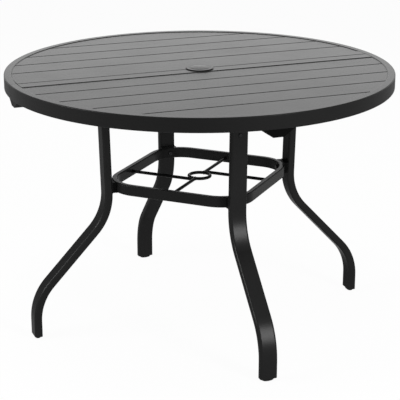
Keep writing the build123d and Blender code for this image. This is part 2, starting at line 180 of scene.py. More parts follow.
def noise(tree, place, scale, detail=2.0):
    """Soft random values from 0 to 1, with so many spots to a metre."""
    inputs = {"Vector": place, "Scale": scale, "Detail": detail}
    return add_node(tree, "ShaderNodeTexNoise", inputs).outputs["Fac"]


def colour_between(tree, shader, factor, first, second):
    """Colours the shader with a mix of two colours."""
    node = add_node(tree, "ShaderNodeMix", {"A": (*first, 1), "B": (*second, 1)}, data_type="RGBA")
    tree.links.new(factor, node.inputs["Factor"])
    tree.links.new(node.outputs["Result"], shader.inputs["Base Color"])


def bump(tree, shader, height, distance):
    """Gives the shader a relief that is this many metres deep."""
    node = add_node(tree, "ShaderNodeBump", {"Height": height, "Distance": distance})
    tree.links.new(node.outputs["Normal"], shader.inputs["Normal"])


# %% Powder coat
CLOUDS_PER_METRE = 9
CLOUD_DETAIL = 4.0
SMOOTH_PEEL = {"per_metre": 420, "height": 0.000012}
FINE_PEEL = {"per_metre": 900, "height": 0.000010}
UPRIGHT, LEANING = 0.1, 0.4


def dull_sides(tree, amount):
    """The roughness that upright faces have on top. It fades where the surface starts to face up."""
    facing = add_node(tree, "ShaderNodeTexCoord").outputs["Normal"]
    up = add_node(tree, "ShaderNodeSeparateXYZ", {"Vector": facing}).outputs["Z"]
    return map_range(tree, up, UPRIGHT, LEANING, amount, 0)


def powder_coat(name, greys, roughness, ior, peel=FINE_PEEL, flake=0.0, edge=1.0, side_dull=0.0):
    """A charcoal coat. Its grey and its roughness vary in soft clouds, over a fine orange peel."""
    finish, tree, shader, place = new_finish(name)
    clouds = noise(tree, place, CLOUDS_PER_METRE, CLOUD_DETAIL)
    dark, light = ((grey, grey, grey) for grey in greys)
    colour_between(tree, shader, clouds, dark, light)
    dullness = map_range(tree, clouds, 0, 1, *roughness)
    if side_dull:
        dullness = calc(tree, "ADD", dullness, dull_sides(tree, side_dull))
    tree.links.new(dullness, shader.inputs["Roughness"])
    shader.inputs["IOR"].default_value = ior
    shader.inputs["Metallic"].default_value = flake
    shader.inputs["Specular Tint"].default_value = (edge, edge, edge, 1)
    bump(tree, shader, noise(tree, place, peel["per_metre"]), peel["height"])
    return finish


# %% The variants of the coat
top_coat = powder_coat(
    "smooth_powder_coat", greys=(0.0060, 0.0085), roughness=(0.20, 0.28), ior=1.18, peel=SMOOTH_PEEL,
    side_dull=0.32)
frame_coat = powder_coat("fine_powder_coat", greys=(0.0095, 0.0125), roughness=(0.20, 0.26), ior=1.10)
# The rods and the umbrella ring take a darker copy of the coat: painted shade for the shade they stand in
# under the top.
rod_shade_coat = powder_coat("shade_darkened_powder_coat", greys=(0.0030, 0.0045), roughness=(0.20, 0.26), ior=1.10)
# The beams and the blocks between the ring and the legs take a darker, duller copy of the coat: painted
# shade for the shade they stand in.
block_shade_coat = powder_coat("shade_darkened_matt_coat", greys=(0.0028, 0.0045), roughness=(0.35, 0.45), ior=1.06)
leg_coat = powder_coat(
    "flake_powder_coat", greys=(0.015, 0.020), roughness=(0.28, 0.34), ior=1.06, flake=0.55, edge=0.45)
print("coats", [coat.name for coat in (top_coat, frame_coat, rod_shade_coat, block_shade_coat, leg_coat)])

# %% [markdown]
# ## Black plastic
# The umbrella cap, its bush and the feet are moulded. The walls of a mould are blasted with grit,
# and the plastic copies them as a fine, even grain. A picture could hold that grain, but a noise on
# the object's own coordinates has no seams and needs no unwrapping. One noise drives the grey, the
# gloss and the relief, so a pit is a pit in all three.

# %% Black plastic
PLASTIC_DARK = (0.0040, 0.0040, 0.0040)
PLASTIC_LIGHT = (0.0065, 0.0065, 0.0063)
PLASTIC_ROUGHNESS = (0.22, 0.32)
PLASTIC_IOR = 1.18
MOULD_GRAIN_PER_METRE = 1600
MOULD_GRAIN_HEIGHT = 0.000004


def moulded_plastic():
    finish, tree, shader, place = new_finish("black_moulded_plastic")
    grain = noise(tree, place, MOULD_GRAIN_PER_METRE)
    colour_between(tree, shader, grain, PLASTIC_DARK, PLASTIC_LIGHT)
    tree.links.new(map_range(tree, grain, 0, 1, *PLASTIC_ROUGHNESS), shader.inputs["Roughness"])
    shader.inputs["IOR"].default_value = PLASTIC_IOR
    bump(tree, shader, grain, MOULD_GRAIN_HEIGHT)
    return finish


black_plastic = moulded_plastic()
print("plastic", black_plastic.name)

# %% [markdown]
# ## Zinc plate
# The bolts and nuts are steel with a thin, dull, darkened plate of zinc, which sets in small crystals
# called spangle. A bare metal has no colour under its gloss: its colour is that of the reflection
# itself. So Metallic is 1, and a noise with more detail varies the grey and the gloss from crystal
# to crystal.

# %% Zinc plate
ZINC_DARK = (0.012, 0.012, 0.013)
ZINC_LIGHT = (0.030, 0.030, 0.031)
ZINC_ROUGHNESS = (0.35, 0.60)
ZINC_SPANGLE_PER_METRE = 900
ZINC_SPANGLE_DETAIL = 5.0


def dull_zinc():
    finish, tree, shader, place = new_finish("dull_zinc_plate")
    spangle = noise(tree, place, ZINC_SPANGLE_PER_METRE, ZINC_SPANGLE_DETAIL)
    colour_between(tree, shader, spangle, ZINC_DARK, ZINC_LIGHT)
    tree.links.new(map_range(tree, spangle, 0, 1, *ZINC_ROUGHNESS), shader.inputs["Roughness"])
    shader.inputs["Metallic"].default_value = 1.0
    return finish


zinc_plate = dull_zinc()
print("plate", zinc_plate.name)

# %% [markdown]
# ## Dressing the solids
# Every solid in the frame names the slot of its finish, and most take the finish of that slot. The
# coated ones that differ are known by how their names begin. The pads come before the legs in that
# list, because the first match counts and both begin alike.

# %% Dress the solids
finishes = {"dark_coat": frame_coat, "black_plastic": black_plastic, "bolt_steel": zinc_plate}
# The darker coats of the rods, the umbrella ring, the beams and the blocks are painted shade.
own_coats = {
    "rim_": top_coat, "seam_bar_": top_coat, "slat_panel_": top_coat, "ring_rod_": rod_shade_coat,
    "umbrella_ring": rod_shade_coat, "ring_saddle_": block_shade_coat, "leg_pad_": block_shade_coat, "leg_": leg_coat,
    "beam_": block_shade_coat,
}
for subpart in frame["record"]["subparts"]:
    node, slot = subpart["node"], subpart["material_slot"]
    finish = finishes[slot]
    if slot == "dark_coat":
        finish = next((coat for start, coat in own_coats.items() if node.startswith(start)), finish)
    solid = frame["nodes"][node].data
    solid.materials.clear()
    solid.materials.append(finish)
print("dressed", len(frame["nodes"]), "solids")

# %% [markdown]
# ## Growing pieces with Geometry Nodes
# A piece that repeats one shape, or whose shape follows a rule, is grown by a tree of nodes. The
# sizes are inputs of the tree, so one tree can make several pieces. The tree runs once, its result
# is kept as a plain mesh, and the modifier goes, because the exported model can't run nodes.

# %% Helpers inside a tree
def new_tree(name, inputs):
    """A geometry tree with these named inputs. Returns it and the sockets that carry the inputs."""
    tree = bpy.data.node_groups.new(name, "GeometryNodeTree")
    tree.interface.new_socket("Geometry", in_out="INPUT", socket_type="NodeSocketGeometry")
    for label, kind in inputs.items():
        tree.interface.new_socket(label, in_out="INPUT", socket_type=f"NodeSocket{kind}")
    tree.interface.new_socket("Geometry", in_out="OUTPUT", socket_type="NodeSocketGeometry")
    return tree, tree.nodes.new("NodeGroupInput").outputs


def join(tree, *geometries):
    node = tree.nodes.new("GeometryNodeJoinGeometry")
    for geometry in geometries:
        tree.links.new(geometry, node.inputs["Geometry"])
    return node.outputs["Geometry"]


def move_points(tree, geometry, position, selection=True):
    inputs = {"Geometry": geometry, "Position": position, "Selection": selection}
    return add_node(tree, "GeometryNodeSetPosition", inputs).outputs["Geometry"]


def vector(tree, x, y, z):
    return add_node(tree, "ShaderNodeCombineXYZ", {"X": x, "Y": y, "Z": z}).outputs["Vector"]


def point_place(tree):
    """The three coordinates of the point that a node is working on."""
    place = tree.nodes.new("GeometryNodeInputPosition").outputs["Position"]
    return add_node(tree, "ShaderNodeSeparateXYZ", {"Vector": place}).outputs


def end_tree(tree, geometry, finish):
    """Ends a tree: real geometry in place of instances, in one finish."""
    smooth = add_node(tree, "GeometryNodeSetShadeSmooth", {"Geometry": geometry}).outputs["Geometry"]
    real = add_node(tree, "GeometryNodeRealizeInstances", {"Geometry": smooth}).outputs["Geometry"]
    dressed = add_node(tree, "GeometryNodeSetMaterial", {"Geometry": real, "Material": finish})
    add_node(tree, "NodeGroupOutput", {"Geometry": dressed.outputs["Geometry"]})


# %% Helpers that run a tree
def grow(name, tree, sizes, start=None, finishing=None):
    """Runs a tree on the start mesh, then the finishing modifiers, and keeps the result as a plain mesh."""
    piece = bpy.data.objects.new(name, start or bpy.data.meshes.new(name))
    bpy.context.collection.objects.link(piece)
    nodes = piece.modifiers.new("nodes", "NODES")
    nodes.node_group = tree
    for socket in tree.interface.items_tree:
        if socket.in_out == "INPUT" and socket.name in sizes:
            nodes[socket.identifier] = sizes[socket.name]
    for kind, options in (finishing or {}).items():
        modifier = piece.modifiers.new(kind.lower(), kind)
        for option, value in options.items():
            setattr(modifier, option, value)
    evaluated = piece.evaluated_get(bpy.context.evaluated_depsgraph_get())
    piece.data = bpy.data.meshes.new_from_object(evaluated)
    piece.modifiers.clear()
    print(name, len(piece.data.polygons), "faces")
    return piece


def fit(piece, slot, *nodes):
    """Puts a piece on the table's body in place of these solids."""
    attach(piece, "table")
    if nodes:
        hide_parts(*nodes)


# %% [markdown]
# ## Slat panels
# Each half of the top is one steel sheet. A press pushes straight grooves into it, so it looks like
# slats, and turns its edge down into a lip that is welded to the frame. It could be modelled as
# separate boards, but the real one is a single skin. So one strip with one groove is repeated at
# the pitch, closed with a flat strip at each end, and then every row is stretched to the circle:
# at a distance y from the seam a row is sqrt(R*R - y*y) long to each side. The rows crowd at the
# grooves, where the sheet bends, and the open edge is drawn down as the lip.

# %% One strip with one groove
STRIP_LENGTH = 2.0
STRIP_ROWS = 41
CROWDED_SHARE = 0.4
GROOVE_ROOM = 1.2


def grooved_strip(tree, size):
    """A strip as wide as the pitch. It reaches from -1 to 1 until the circle sets its length."""
    inputs = {"Size X": STRIP_LENGTH, "Size Y": size["Pitch"], "Vertices X": 2, "Vertices Y": STRIP_ROWS}
    strip = add_node(tree, "GeometryNodeMeshGrid", inputs).outputs["Mesh"]
    x, y, _ = point_place(tree)
    half_pitch = calc(tree, "DIVIDE", size["Pitch"], 2)
    half_groove = calc(tree, "DIVIDE", size["Groove Width"], 2)
    crowd_end = calc(tree, "MULTIPLY", half_pitch, CROWDED_SHARE)
    crowd_to = calc(tree, "MULTIPLY", half_groove, GROOVE_ROOM)
    away = calc(tree, "ABSOLUTE", y)
    near = map_range(tree, away, 0, crowd_end, 0, crowd_to)
    rest = map_range(tree, away, crowd_end, half_pitch, 0, calc(tree, "SUBTRACT", half_pitch, crowd_to))
    moved = calc(tree, "ADD", near, rest)
    half_floor = calc(tree, "DIVIDE", size["Groove Floor"], 2)
    depth = calc(tree, "MULTIPLY", size["Groove Depth"], -1)
    level = map_range(tree, moved, half_floor, half_groove, depth, 0, "SMOOTHSTEP")
    row = calc(tree, "MULTIPLY", moved, calc(tree, "SIGN", y))
    return move_points(tree, strip, vector(tree, x, row, level))


# %% The flat strips at the seam and at the round end
FLAT_ROWS = 13
ROUND_ROWS = 49


def flat_strip(tree, first_row, last_row, rows, slow_down=False):
    """A flat strip between two rows. Slowed down, its rows draw together where the circle closes."""
    inputs = {"Size X": STRIP_LENGTH, "Size Y": 1.0, "Vertices X": 2, "Vertices Y": rows}
    strip = add_node(tree, "GeometryNodeMeshGrid", inputs).outputs["Mesh"]
    x, y, z = point_place(tree)
    # The grid is 1 wide round its middle, so half of that more runs from 0 to 1.
    share = calc(tree, "ADD", y, 0.5)
    if slow_down:
        share = calc(tree, "SINE", calc(tree, "MULTIPLY", share, math.pi / 2))
    width = calc(tree, "SUBTRACT", last_row, first_row)
    row = calc(tree, "MULTIPLY_ADD", share, width, first_row)
    return move_points(tree, strip, vector(tree, x, row, z))


# %% Round off and turn the lip down
MERGE_DISTANCE = 0.00001
FACES_AT_OPEN_EDGE = 1
COUNT_TOLERANCE = 0.1


def round_off(tree, sheet, size):
    """Stretches every row to the circle and lifts the sheet to its level."""
    x, y, z = point_place(tree)
    squared = calc(tree, "SUBTRACT", calc(tree, "POWER", size["Radius"], 2), calc(tree, "POWER", y, 2))
    reach = calc(tree, "SQRT", calc(tree, "MAXIMUM", squared, 0))
    return move_points(tree, sheet, vector(
        tree, calc(tree, "MULTIPLY", x, reach), y, calc(tree, "ADD", z, size["Level"])))


def merge(tree, geometry):
    """Sews points together that lie in one place."""
    inputs = {"Geometry": geometry, "Distance": MERGE_DISTANCE}
    return add_node(tree, "GeometryNodeMergeByDistance", inputs).outputs["Geometry"]


def turn_down_lip(tree, sheet, size):
    """Draws the open edge of the sheet down to one level."""
    faces = tree.nodes.new("GeometryNodeInputMeshEdgeNeighbors").outputs["Face Count"]
    open_edge = calc(tree, "COMPARE", faces, FACES_AT_OPEN_EDGE, COUNT_TOLERANCE)
    drawn = add_node(tree, "GeometryNodeExtrudeMesh", {
        "Mesh": sheet, "Selection": open_edge, "Offset": (0, 0, -1), "Offset Scale": size["Lip"]},
        mode="EDGES")
    x, y, _ = point_place(tree)
    level = calc(tree, "SUBTRACT", size["Level"], size["Lip"])
    return move_points(tree, drawn.outputs["Mesh"], vector(tree, x, y, level), drawn.outputs["Top"])


# %% The whole panel
PANEL_INPUTS = {
    "Radius": "Float", "Inner Edge": "Float", "First Groove": "Float", "Pitch": "Float",
    "Grooves": "Int", "Groove Width": "Float", "Groove Floor": "Float", "Groove Depth": "Float",
    "Level": "Float", "Lip": "Float", "Turn": "Float",
}


def turned(tree, geometry, turn):
    """Turns a shape round the table's upright middle line."""
    inputs = {"Geometry": geometry, "Rotation": vector(tree, 0, 0, turn)}
    return add_node(tree, "GeometryNodeTransform", inputs).outputs["Geometry"]


def slat_panel_tree():
    tree, size = new_tree("pressed_slat_panel", PANEL_INPUTS)
    half_pitch = calc(tree, "DIVIDE", size["Pitch"], 2)
    start = calc(tree, "SUBTRACT", size["First Groove"], half_pitch)
    end = calc(tree, "MULTIPLY_ADD", size["Grooves"], size["Pitch"], start)
    lines = add_node(tree, "GeometryNodeMeshLine", {
        "Count": size["Grooves"], "Start Location": vector(tree, 0, size["First Groove"], 0),
        "Offset": vector(tree, 0, size["Pitch"], 0)}, mode="OFFSET").outputs["Mesh"]
    grooved = add_node(tree, "GeometryNodeInstanceOnPoints", {
        "Points": lines, "Instance": grooved_strip(tree, size)}).outputs["Instances"]
    grooved = add_node(tree, "GeometryNodeRealizeInstances", {"Geometry": grooved}).outputs["Geometry"]
    inner = flat_strip(tree, size["Inner Edge"], start, FLAT_ROWS)
    outer = flat_strip(tree, end, size["Radius"], ROUND_ROWS, slow_down=True)
    sheet = merge(tree, round_off(tree, join(tree, grooved, inner, outer), size))
    end_tree(tree, turned(tree, turn_down_lip(tree, sheet, size), size["Turn"]), top_coat)
    return tree


# %% Press both panels
panel_sizes = {
    "Radius": 0.5123, "Inner Edge": 0.0427, "First Groove": 0.1255, "Pitch": 0.094, "Grooves": 4,
    "Groove Width": 0.0055, "Groove Floor": 0.0025, "Groove Depth": 0.002, "Level": 0.7235, "Lip": 0.007,
}
SHEET_THICKNESS = 0.0012
LIP_BEND = 0.0012
sheet_metal = {
    "BEVEL": {"width": LIP_BEND, "segments": 3, "limit_method": "ANGLE", "angle_limit": math.radians(60)},
    "SOLIDIFY": {"thickness": SHEET_THICKNESS, "offset": -1.0},
    "WEIGHTED_NORMAL": {"weight": 100},
}
panel_tree = slat_panel_tree()
for half, turn in {"back": 0.0, "front": math.pi}.items():
    panel = grow(f"pressed_panel_{half}", panel_tree, {**panel_sizes, "Turn": turn}, finishing=sheet_metal)
    fit(panel, "dark_coat", f"slat_panel_{half}")

# %% [markdown]
# ## Bolts and nuts
# Steel bolts hold the beams, hangers, legs and ring. The solids are plain pegs with hexagons, which
# is enough for their place. A real bolt has a head with a turned corner, and a thread. Each solid
# is measured for its axis, and a tree then builds a bolt on each axis: the head is one shape on
# every point, and the shank is a line whose radius rises and falls with the thread.

# %% Take the solid bolts apart
MERGE_SOLID = 0.000001


def loose_solids(node):
    """The points of each loose solid in a node."""
    solid = bmesh.new()
    solid.from_mesh(frame["nodes"][node].data)
    bmesh.ops.remove_doubles(solid, verts=solid.verts, dist=MERGE_SOLID)
    waiting = set(solid.verts)
    while waiting:
        island, edge_of_island = set(), [waiting.pop()]
        while edge_of_island:
            point = edge_of_island.pop()
            island.add(point)
            fresh = {edge.other_vert(point) for edge in point.link_edges} & waiting
            waiting -= fresh
            edge_of_island.extend(fresh)
        yield np.array([point.co for point in island])
    solid.free()


# %% Find their axes
SAME_REACH = 0.02


def solid_axis(points, longest=True):
    """The middle line of a bolt or a nut: its two ends, the thick one first."""
    middle = points.mean(axis=0)
    _, directions = np.linalg.eigh(np.cov((points - middle).T))
    axis = directions[:, -1 if longest else 0]
    along = (points - middle) @ axis
    aside = np.linalg.norm(points - middle - np.outer(along, axis), axis=1)
    ends = [middle + axis * along.min(), middle + axis * along.max()]
    thick = along[np.isclose(aside, aside.max(), rtol=SAME_REACH)].mean()
    return ends if thick < (along.min() + along.max()) / 2 else ends[::-1]


def measured(nodes, longest=True):
    return [solid_axis(points, longest) for node in nodes for points in loose_solids(node)]


def axis_points(name, axes):
    """A mesh of points, one at the first end of each axis, with the axis kept as an attribute."""
    mesh = bpy.data.meshes.new(name)
    mesh.from_pydata([tuple(first) for first, _ in axes], [], [])
    arrow = mesh.attributes.new("axis", "FLOAT_VECTOR", "POINT")
    arrow.data.foreach_set("vector", np.array([last - first for first, last in axes]).ravel())
    return mesh


# %% Heads
CORNER_OF_HEXAGON = 2 / math.sqrt(3)
TURNED_CORNER = 0.87
TURNED_SHARE = 0.2
HEAD_SIDES, HEAD_RINGS = 32, 16
BELOW_EQUATOR = -0.01


def hexagon(tree, across, height):
    """A hexagon block from 0 down to its height below, with the corners of the upper face turned."""
    radius = calc(tree, "MULTIPLY", across, CORNER_OF_HEXAGON / 2)
    cap = calc(tree, "MULTIPLY", height, TURNED_SHARE)
    body = calc(tree, "SUBTRACT", height, cap)
    prism = add_node(tree, "GeometryNodeMeshCylinder", {"Vertices": 6, "Radius": radius, "Depth": body})
    cone = add_node(tree, "GeometryNodeMeshCone", {
        "Vertices": 6, "Radius Bottom": radius, "Depth": cap,
        "Radius Top": calc(tree, "MULTIPLY", radius, TURNED_CORNER)})
    cap_drop = calc(tree, "MULTIPLY", cap, -1)
    body_drop = calc(tree, "MULTIPLY_ADD", body, -0.5, cap_drop)
    lowered = [add_node(tree, "GeometryNodeTransform", {
        "Geometry": shape.outputs["Mesh"], "Translation": vector(tree, 0, 0, drop)}).outputs["Geometry"]
        for shape, drop in ((prism, body_drop), (cone, cap_drop))]
    return join(tree, *lowered)


def dome(tree, across, height):
    """A round head: the upper half of a flattened ball, from 0 down to its height."""
    inputs = {"Segments": HEAD_SIDES, "Rings": HEAD_RINGS}
    ball = add_node(tree, "GeometryNodeMeshUVSphere", inputs).outputs["Mesh"]
    _, _, z = point_place(tree)
    half = add_node(tree, "GeometryNodeDeleteGeometry", {
        "Geometry": ball, "Selection": calc(tree, "LESS_THAN", z, BELOW_EQUATOR)}).outputs["Geometry"]
    radius = calc(tree, "DIVIDE", across, 2)
    return add_node(tree, "GeometryNodeTransform", {
        "Geometry": half, "Scale": vector(tree, radius, radius, height),
        "Translation": vector(tree, 0, 0, calc(tree, "MULTIPLY", height, -1))}).outputs["Geometry"]


# %% Shanks
SHANK_SIDES = 16
STEPS_PER_THREAD = 4


def on_axes(tree, points, shape, stretch=False):
    """One copy of a shape on every point, with its -Z along the point's axis."""
    axis = add_node(tree, "GeometryNodeInputNamedAttribute", {"Name": "axis"}, data_type="FLOAT_VECTOR")
    axis = axis.outputs["Attribute"]
    back = add_node(tree, "ShaderNodeVectorMath", {0: axis, "Scale": -1.0}, operation="SCALE")
    turn = add_node(tree, "FunctionNodeAlignRotationToVector", {"Vector": back.outputs["Vector"]}, axis="Z")
    inputs = {"Points": points, "Instance": shape, "Rotation": turn.outputs["Rotation"]}
    if stretch:
        length = add_node(tree, "ShaderNodeVectorMath", {0: axis}, operation="LENGTH").outputs["Value"]
        inputs["Scale"] = vector(tree, 1, 1, length)
    copies = add_node(tree, "GeometryNodeInstanceOnPoints", inputs).outputs["Instances"]
    return add_node(tree, "GeometryNodeRealizeInstances", {"Geometry": copies}).outputs["Geometry"]


def threaded_shank(tree, points, size):
    """A line along every axis, swept with a circle whose radius follows the thread."""
    line = add_node(tree, "GeometryNodeCurvePrimitiveLine", {"Start": (0, 0, 0), "End": (0, 0, -1)})
    lines = on_axes(tree, points, line.outputs["Curve"], stretch=True)
    step = calc(tree, "DIVIDE", size["Thread Pitch"], STEPS_PER_THREAD)
    fine = add_node(tree, "GeometryNodeResampleCurve", {"Curve": lines, "Length": step}, mode="LENGTH")
    run = tree.nodes.new("GeometryNodeSplineParameter").outputs["Length"]
    half_pitch = calc(tree, "DIVIDE", size["Thread Pitch"], 2)
    wave = calc(tree, "PINGPONG", run, half_pitch)
    cut = map_range(tree, wave, 0, half_pitch, 0, size["Thread Depth"])
    radius = calc(tree, "SUBTRACT", size["Thread Radius"], cut)
    circle = add_node(tree, "GeometryNodeCurvePrimitiveCircle", {"Resolution": SHANK_SIDES, "Radius": 1.0})
    return add_node(tree, "GeometryNodeCurveToMesh", {
        "Curve": fine.outputs["Curve"], "Profile Curve": circle.outputs["Curve"], "Scale": radius,
        "Fill Caps": True}).outputs["Mesh"]


# %% Trees of the bolts and the nut
BOLT_INPUTS = {
    "Head Across": "Float", "Head Height": "Float", "Thread Radius": "Float", "Thread Pitch": "Float",
    "Thread Depth": "Float",
}


def bolt_tree(name, head):
    tree, size = new_tree(name, BOLT_INPUTS)
    heads = on_axes(tree, size["Geometry"], head(tree, size["Head Across"], size["Head Height"]))
    shanks = threaded_shank(tree, size["Geometry"], size)
    end_tree(tree, join(tree, heads, shanks), zinc_plate)
    return tree


def nut_tree():
    tree, size = new_tree("hex_nut", {"Across": "Float", "Height": "Float"})
    nuts = on_axes(tree, size["Geometry"], hexagon(tree, size["Across"], size["Height"]))
    end_tree(tree, nuts, zinc_plate)
    return tree


# %% Put the bolts and nuts in
thread = {"Thread Radius": 0.003, "Thread Pitch": 0.001, "Thread Depth": 0.0004}
crisp = {"EDGE_SPLIT": {"split_angle": math.radians(35)}}
fasteners = {
    "hex_bolts": {
        "tree": bolt_tree("hex_bolt", hexagon), "solids": ("beam_bolts", "hanger_bolts", "ring_bolts"),
        "sizes": {"Head Across": 0.010, "Head Height": 0.004, **thread}, "long": True},
    "round_head_bolts": {
        "tree": bolt_tree("round_head_bolt", dome), "solids": ("leg_bolts",),
        "sizes": {"Head Across": 0.012, "Head Height": 0.0032, **thread}, "long": True},
    "hex_nuts": {
        "tree": nut_tree(), "solids": ("hanger_nuts", "leg_nuts", "ring_nuts"),
        "sizes": {"Across": 0.010, "Height": 0.005}, "long": False},
}
for name, kind in fasteners.items():
    axes = measured(kind["solids"], kind["long"])
    piece = grow(name, kind["tree"], kind["sizes"], axis_points(name, axes), crisp)
    fit(piece, "bolt_steel", *kind["solids"])
    print(name, "on", len(axes), "axes")

# %% [markdown]
# ## Foot glides
# Each leg ends in a black plastic foot: a plug that fills the tube, and under it a dome that slides on
# the floor. The solid has a plain block for the dome. A flattened ball could do, but the real dome is
# fuller than an ellipse, in plan and in profile. So a grid is wrapped: its rows go round one
# superellipse and shrink to the floor along another.

# %% The dome
DOME_SIDES, DOME_ROWS = 48, 17
PLAN_POWER, PROFILE_POWER = 2.4, 3.2


def power_of(tree, value, power):
    """A power of the value's size, whatever its sign."""
    return calc(tree, "POWER", calc(tree, "ABSOLUTE", value), power)


def glide_dome(tree, size):
    """A dome that stands on the floor. Its columns go once round, and its rows fall a quarter turn."""
    inputs = {"Size X": 1.0, "Size Y": 1.0, "Vertices X": DOME_SIDES + 1, "Vertices Y": DOME_ROWS}
    grid = add_node(tree, "GeometryNodeMeshGrid", inputs).outputs["Mesh"]
    x, y, _ = point_place(tree)
    around = calc(tree, "MULTIPLY", x, -2 * math.pi)
    fall = calc(tree, "MULTIPLY_ADD", y, math.pi / 2, math.pi / 4)
    depth, width = calc(tree, "COSINE", around), calc(tree, "SINE", around)
    shares = [power_of(tree, calc(tree, "DIVIDE", part, half), PLAN_POWER)
              for part, half in ((depth, size["Half Depth"]), (width, size["Half Width"]))]
    reach = calc(tree, "POWER", calc(tree, "ADD", *shares), -1 / PLAN_POWER)
    shrink, drop = (power_of(tree, calc(tree, kind, fall), 2 / PROFILE_POWER) for kind in ("COSINE", "SINE"))
    reach = calc(tree, "MULTIPLY", reach, shrink)
    level = calc(tree, "MULTIPLY", calc(tree, "SUBTRACT", 1, drop), size["Height"])
    return merge(tree, move_points(tree, grid, vector(
        tree, calc(tree, "MULTIPLY", depth, reach), calc(tree, "MULTIPLY", width, reach), level)))


# %% The plug
PLUG_CORNER_STEPS = 6


def glide_plug(tree, size):
    """A block with rounded corners that fills the end of the tube."""
    outline = add_node(tree, "GeometryNodeCurvePrimitiveQuadrilateral", {
        "Width": size["Plug Depth"], "Height": size["Plug Width"]}).outputs["Curve"]
    rounded = add_node(tree, "GeometryNodeFilletCurve", {
        "Curve": outline, "Radius": size["Plug Corner"], "Count": PLUG_CORNER_STEPS}, mode="POLY")
    face = add_node(tree, "GeometryNodeFillCurve", {"Curve": rounded.outputs["Curve"]}, mode="NGONS")
    face = face.outputs["Mesh"]
    walls = add_node(tree, "GeometryNodeExtrudeMesh", {
        "Mesh": face, "Offset": (0, 0, 1), "Offset Scale": size["Plug Length"]}).outputs["Mesh"]
    floor_side = add_node(tree, "GeometryNodeFlipFaces", {"Mesh": face}).outputs["Mesh"]
    return add_node(tree, "GeometryNodeTransform", {
        "Geometry": join(tree, walls, floor_side),
        "Translation": vector(tree, 0, 0, size["Height"])}).outputs["Geometry"]


# %% Set the glides in the legs
GLIDE_INPUTS = {
    "Half Depth": "Float", "Half Width": "Float", "Height": "Float", "Plug Depth": "Float",
    "Plug Width": "Float", "Plug Corner": "Float", "Plug Length": "Float", "Reach": "Float", "Turn": "Float",
}
ARMS = {"right": 0, "back": 90, "left": 180, "front": 270}


def glide_tree():
    tree, size = new_tree("domed_glide", GLIDE_INPUTS)
    glide = join(tree, glide_dome(tree, size), glide_plug(tree, size))
    out = add_node(tree, "GeometryNodeTransform", {
        "Geometry": glide, "Translation": vector(tree, size["Reach"], 0, 0)}).outputs["Geometry"]
    end_tree(tree, turned(tree, out, size["Turn"]), black_plastic)
    return tree


glide_sizes = {
    "Half Depth": 0.009, "Half Width": 0.0175, "Height": 0.008, "Plug Depth": 0.0184, "Plug Width": 0.0434,
    "Plug Corner": 0.0042, "Plug Length": 0.016, "Reach": 0.486,
}
dome_tree = glide_tree()
for arm, turn in ARMS.items():
    sizes = {**glide_sizes, "Turn": math.radians(turn)}
    glide = grow(f"domed_glide_{arm}", dome_tree, sizes, finishing=crisp)
    fit(glide, "black_plastic", f"foot_glide_{arm}")

# %% [markdown]
# ## Welds
# The rods, the saddles, the pads, the seam bars and the ends of two beams are welded, not bolted. A
# welder moves the torch in small steps, and each step leaves a drop that overlaps the last one. A
# swept tube would be too even, so a tree lays one small ball after another along each joint, and
# chance varies their size. The paths follow the lines where the solids meet.

# %% Lay beads along paths
WELD_INPUTS = {"Bead Radius": "Float", "Step": "Float", "Uneven": "Float", "Seed": "Int"}
BALL_SIDES, BALL_RINGS = 8, 5
# Random Value has one set of sockets for each kind of number. These are the ones of plain numbers.
CHANCE_LEAST, CHANCE_MOST, CHANCE_RESULT = 2, 3, 1


def weld_tree():
    tree, size = new_tree("weld_beads", WELD_INPUTS)
    joints = add_node(tree, "GeometryNodeMeshToCurve", {"Mesh": size["Geometry"]}).outputs["Curve"]
    drops = add_node(tree, "GeometryNodeCurveToPoints", {
        "Curve": joints, "Length": size["Step"]}, mode="LENGTH").outputs["Points"]
    ball = add_node(tree, "GeometryNodeMeshUVSphere", {
        "Segments": BALL_SIDES, "Rings": BALL_RINGS, "Radius": size["Bead Radius"]}).outputs["Mesh"]
    least, most = (calc(tree, kind, 1, size["Uneven"]) for kind in ("SUBTRACT", "ADD"))
    chance = add_node(tree, "FunctionNodeRandomValue", {
        CHANCE_LEAST: least, CHANCE_MOST: most, "Seed": size["Seed"]}).outputs[CHANCE_RESULT]
    beads = add_node(tree, "GeometryNodeInstanceOnPoints", {
        "Points": drops, "Instance": ball, "Scale": chance}).outputs["Instances"]
    end_tree(tree, beads, frame_coat)
    return tree


def joint_mesh(name, joints):
    """A mesh of open paths, one for each list of points."""
    points, edges = [], []
    for joint in joints:
        edges += [(len(points) + i, len(points) + i + 1) for i in range(len(joint) - 1)]
        points += joint
    mesh = bpy.data.meshes.new(name)
    mesh.from_pydata(points, edges, [])
    return mesh


# %% Paths round the rods
ROD_RADIUS = 0.0045
ROD_PATH_POINTS = 33
ring_corners = np.array(frame["nodes"]["stretcher_ring"].bound_box)
ring_bottom, ring_top = ring_corners[:, 2].min(), ring_corners[:, 2].max()
ring_middle = (ring_bottom + ring_top) / 2
full_turn = np.linspace(0, 2 * math.pi, ROD_PATH_POINTS)
print("ring from", round(ring_bottom, 4), "to", round(ring_top, 4), "m high")


def on_arm(turn, reach, aside, height):
    """A point so far out in a direction, so far to the left of it, and so high."""
    across, along = math.sin(math.radians(turn)), math.cos(math.radians(turn))
    return (reach * along - aside * across, reach * across + aside * along, height)


def round_rod(turn, reach, aside, follow=0):
    """A path round a rod. With follow 1 it hugs a rod as thick that crosses the end of the first."""
    return [on_arm(turn, reach + follow * ROD_RADIUS * abs(math.sin(a)), aside + ROD_RADIUS * math.sin(a),
                   ring_middle + ROD_RADIUS * math.cos(a)) for a in full_turn]


